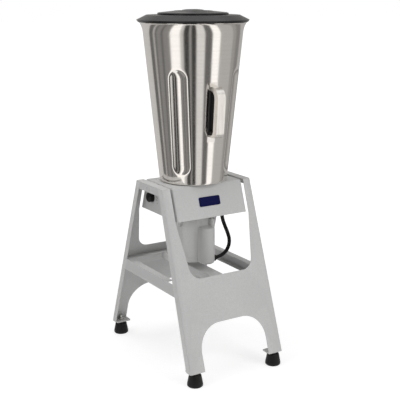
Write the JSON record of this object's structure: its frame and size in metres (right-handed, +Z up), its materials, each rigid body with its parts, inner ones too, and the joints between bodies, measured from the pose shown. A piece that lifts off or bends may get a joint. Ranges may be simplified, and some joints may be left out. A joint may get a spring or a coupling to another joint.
{
  "type": "tilting blender",
  "caption": "Tilting floor blender: a tapered steel cup with a lid on a motor head that swings between the splayed plate legs of its stand.",
  "frame": {"origin": "on the floor under the middle of the machine", "axes": "+X to the machine's right, +Y to the rear, +Z up; the name plate is on the front, -Y"},
  "size_m": [0.362, 0.5654, 1.157],
  "materials": {
    "grey_paint": "satin",
    "black_rubber": "matte",
    "zinc_steel": "satin",
    "stainless": "brushed",
    "plain_steel": "satin",
    "black_plastic": "satin",
    "bronze": "satin",
    "aluminium_can": "satin",
    "blue_plate": "gloss"
  },
  "bodies": {
    "stand": {"front_plate": "grey_paint", "rear_plate": "grey_paint", "left_bridge": "grey_paint", "right_bridge": "grey_paint", "left_side_rail": "grey_paint", "right_side_rail": "grey_paint", "front_cross_rail": "grey_paint", "rear_cross_rail": "grey_paint", "centre_rail": "grey_paint", "foot_plates": "grey_paint", "foot_studs": "zinc_steel", "foot_nuts": "zinc_steel", "front_right_foot": "black_rubber", "front_left_foot": "black_rubber", "rear_right_foot": "black_rubber", "rear_left_foot": "black_rubber", "pivot_bushes": "bronze"},
    "head": {"head_housing": "grey_paint", "head_base_plate": "grey_paint", "pivot_doublers": "plain_steel", "pivot_pins": "zinc_steel", "thrust_washers": "black_plastic", "stop_pin": "zinc_steel", "motor_mount_plate": "plain_steel", "motor_frame": "grey_paint", "motor_top_bell": "grey_paint", "motor_bottom_bell": "grey_paint", "motor_lug_screws": "zinc_steel", "motor_flange_screws": "zinc_steel", "stator": "plain_steel", "bearing_outer_rings": "plain_steel", "cup": "stainless", "cup_gasket": "black_rubber", "cup_bolts": "zinc_steel", "shaft_seal": "black_plastic", "handle": "stainless", "handle_liner": "black_plastic", "capacitor_cover": "grey_paint", "capacitor": "aluminium_can", "motor_lead": "black_plastic", "box_gland": "black_plastic", "motor_gland": "black_plastic", "switch_body": "black_plastic", "name_plate": "blue_plate"},
    "rotor": {"motor_shaft": "stainless", "rotor_core": "plain_steel", "bearing_inner_rings": "plain_steel", "cooling_fan": "black_plastic", "blade_hub": "stainless", "lower_blade": "stainless", "upper_blade": "stainless", "blade_nut": "zinc_steel"},
    "knob": {"switch_knob": "black_plastic", "switch_spindle": "zinc_steel"},
    "lid": {"lid": "black_plastic"},
    "filler_cap": {"filler_cap": "black_plastic"}
  },
  "joints": [
    {"name": "head_tilt", "type": "hinge", "parent": "stand", "child": "head", "pos_m": [0, 0, 0.59], "axis": [-1, 0, 0], "range_deg": [0, 99]},
    {"name": "blade_spin", "type": "hinge", "parent": "head", "child": "rotor", "pos_m": [0, 0, 0.65], "axis": [0, 0, 1], "continuous": true},
    {"name": "switch_turn", "type": "hinge", "parent": "head", "child": "knob", "pos_m": [-0.134, 0.0435, 0.5505], "axis": [1, 0, 0], "range_deg": [0, 90]},
    {"name": "lid_lift", "type": "slide", "parent": "head", "child": "lid", "axis": [0, 0, 1], "range_m": [0, 0.12]},
    {"name": "cap_lift", "type": "slide", "parent": "lid", "child": "filler_cap", "axis": [0, 0, 1], "range_m": [0, 0.06]}
  ]
}
